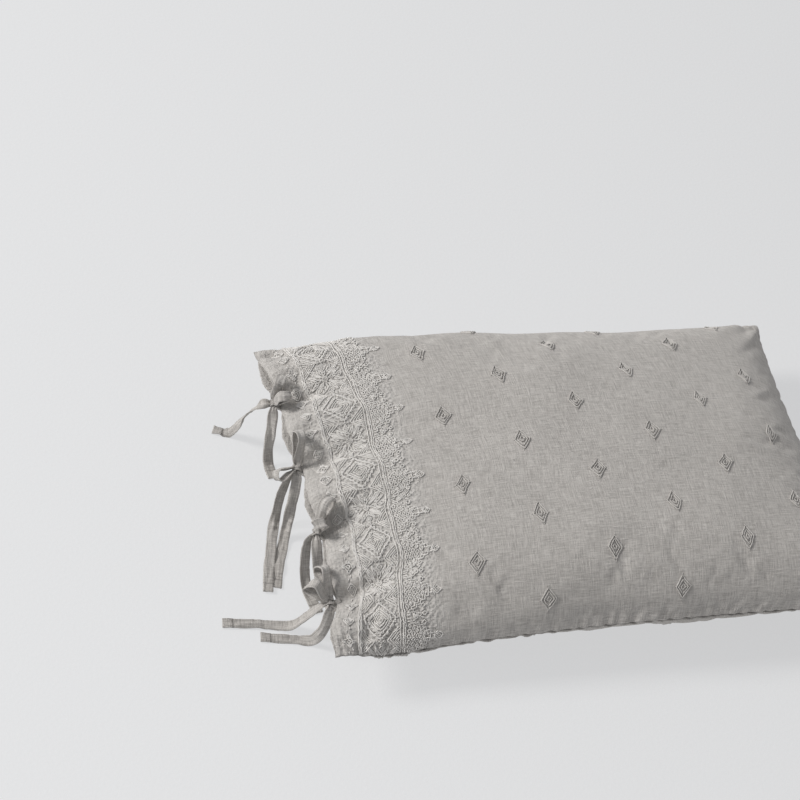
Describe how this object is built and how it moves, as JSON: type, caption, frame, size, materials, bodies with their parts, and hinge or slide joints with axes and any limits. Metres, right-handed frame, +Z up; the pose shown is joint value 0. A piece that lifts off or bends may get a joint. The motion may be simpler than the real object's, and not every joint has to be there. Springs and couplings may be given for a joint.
{
  "type": "pillow sham",
  "caption": "Filled linen pillow sham, crowned and lying on its back, its hemmed mouth closed by tied bows of the same linen.",
  "frame": {"origin": "centre of the flat underside that the filled sham rests on", "axes": "+X along the length from the tied mouth to the closed end, +Y across the width, +Z up through the crown of the face"},
  "size_m": [0.7764, 0.466, 0.1484],
  "materials": {
    "linen": "plain-woven warm grey linen with slubs, washed and soft",
    "linen_tape": "folded and stitched strips of the same linen",
    "embroidery": "raised tone-on-tone embroidery thread with a soft sheen"
  },
  "bodies": {
    "root": {"sham": "linen", "tie_1_front": "linen_tape", "tie_1_back": "linen_tape", "tie_2_front": "linen_tape", "tie_2_back": "linen_tape", "tie_3_front": "linen_tape", "tie_3_back": "linen_tape", "tie_4_front": "linen_tape", "tie_4_back": "linen_tape"}
  },
  "joints": []
}
